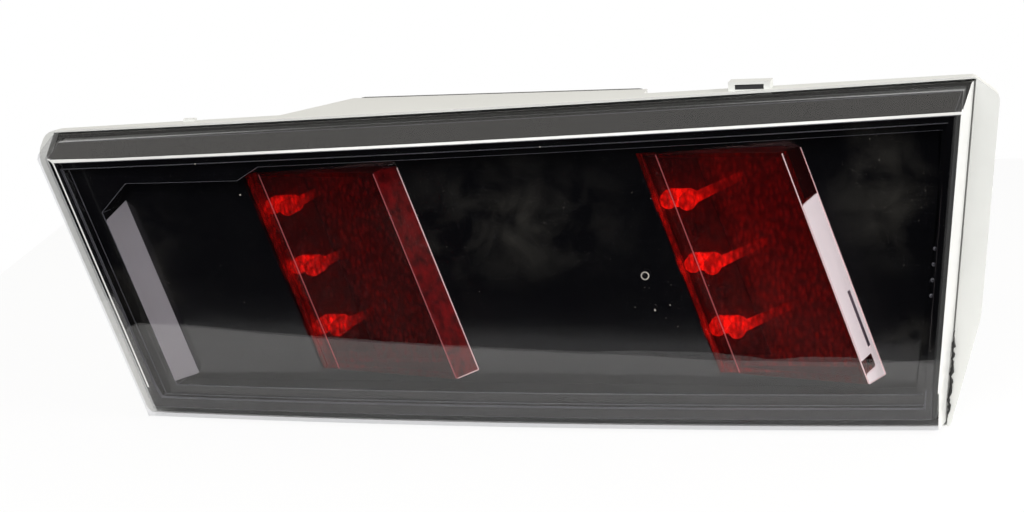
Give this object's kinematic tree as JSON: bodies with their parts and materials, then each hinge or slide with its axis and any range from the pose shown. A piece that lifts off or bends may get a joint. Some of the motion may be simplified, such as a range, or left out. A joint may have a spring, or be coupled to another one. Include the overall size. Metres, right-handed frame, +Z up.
{
  "type": "car tail light cluster",
  "caption": "Sealed rear lamp with a clear outer lens over leaning red light bars, for fixing to the back of a car by studs.",
  "frame": {"origin": "middle of the four mounting studs, on the faces of their bosses, where the lamp meets the car body", "axes": "+X along the lamp from its outboard end to its inboard end, +Y into the car along the studs, +Z up; the lens faces -Y"},
  "size_m": [0.4702, 0.1195, 0.1612],
  "materials": {
    "clear_lens": "clear moulded acrylic, polished, with a warm grey sheen along the top",
    "black_seal": "black sealing bead",
    "pale_housing": "pale grey moulded plastic",
    "gloss_black": "gloss black moulded plastic",
    "satin_silver": "satin silver paint on plastic",
    "red_blade": "dark red gloss plastic",
    "bright_silver": "bright silver coating on plastic",
    "red_lens": "dark red clear plastic with fine optics inside",
    "red_optic": "bright red clear plastic",
    "white_plastic": "white reflector plastic",
    "white_board": "white solder mask",
    "led_package": "resin over the chip",
    "zinc": "zinc plate",
    "green_board": "green solder mask",
    "chip_black": "moulded component bodies",
    "cable_black": "black cable jacket",
    "dark_plastic": "black moulded plastic",
    "contact_brass": "plain contacts",
    "black_rubber": "moulded rubber",
    "foam": "closed-cell foam"
  },
  "bodies": {
    "root": {"outer_lens": "clear_lens", "lens_seal": "black_seal", "housing": "pale_housing", "bezel": "gloss_black", "back_panel": "gloss_black", "outboard_blade": "satin_silver", "mid_blade": "red_blade", "inboard_blade": "bright_silver", "mid_bar_lens": "red_lens", "inboard_bar_lens": "red_lens", "mid_collimators": "red_optic", "inboard_collimators": "red_optic", "mid_light_box": "white_plastic", "inboard_light_box": "white_plastic", "mid_led_board": "white_board", "inboard_led_board": "white_board", "mid_leds": "led_package", "inboard_leds": "led_package", "led_board_screws": "zinc", "light_box_screws": "zinc", "bezel_screws": "zinc", "panel_screws": "zinc", "control_board": "green_board", "control_parts": "chip_black", "board_screws": "zinc", "mid_lead": "cable_black", "inboard_lead": "cable_black", "socket_shell": "dark_plastic", "socket_pins": "contact_brass", "rear_cover": "dark_plastic", "cover_seal": "black_rubber", "cover_screws": "zinc", "mounting_studs": "zinc", "body_gasket": "foam", "vent_caps": "black_rubber", "locating_clip": "dark_plastic", "side_locator": "pale_housing"}
  },
  "joints": []
}
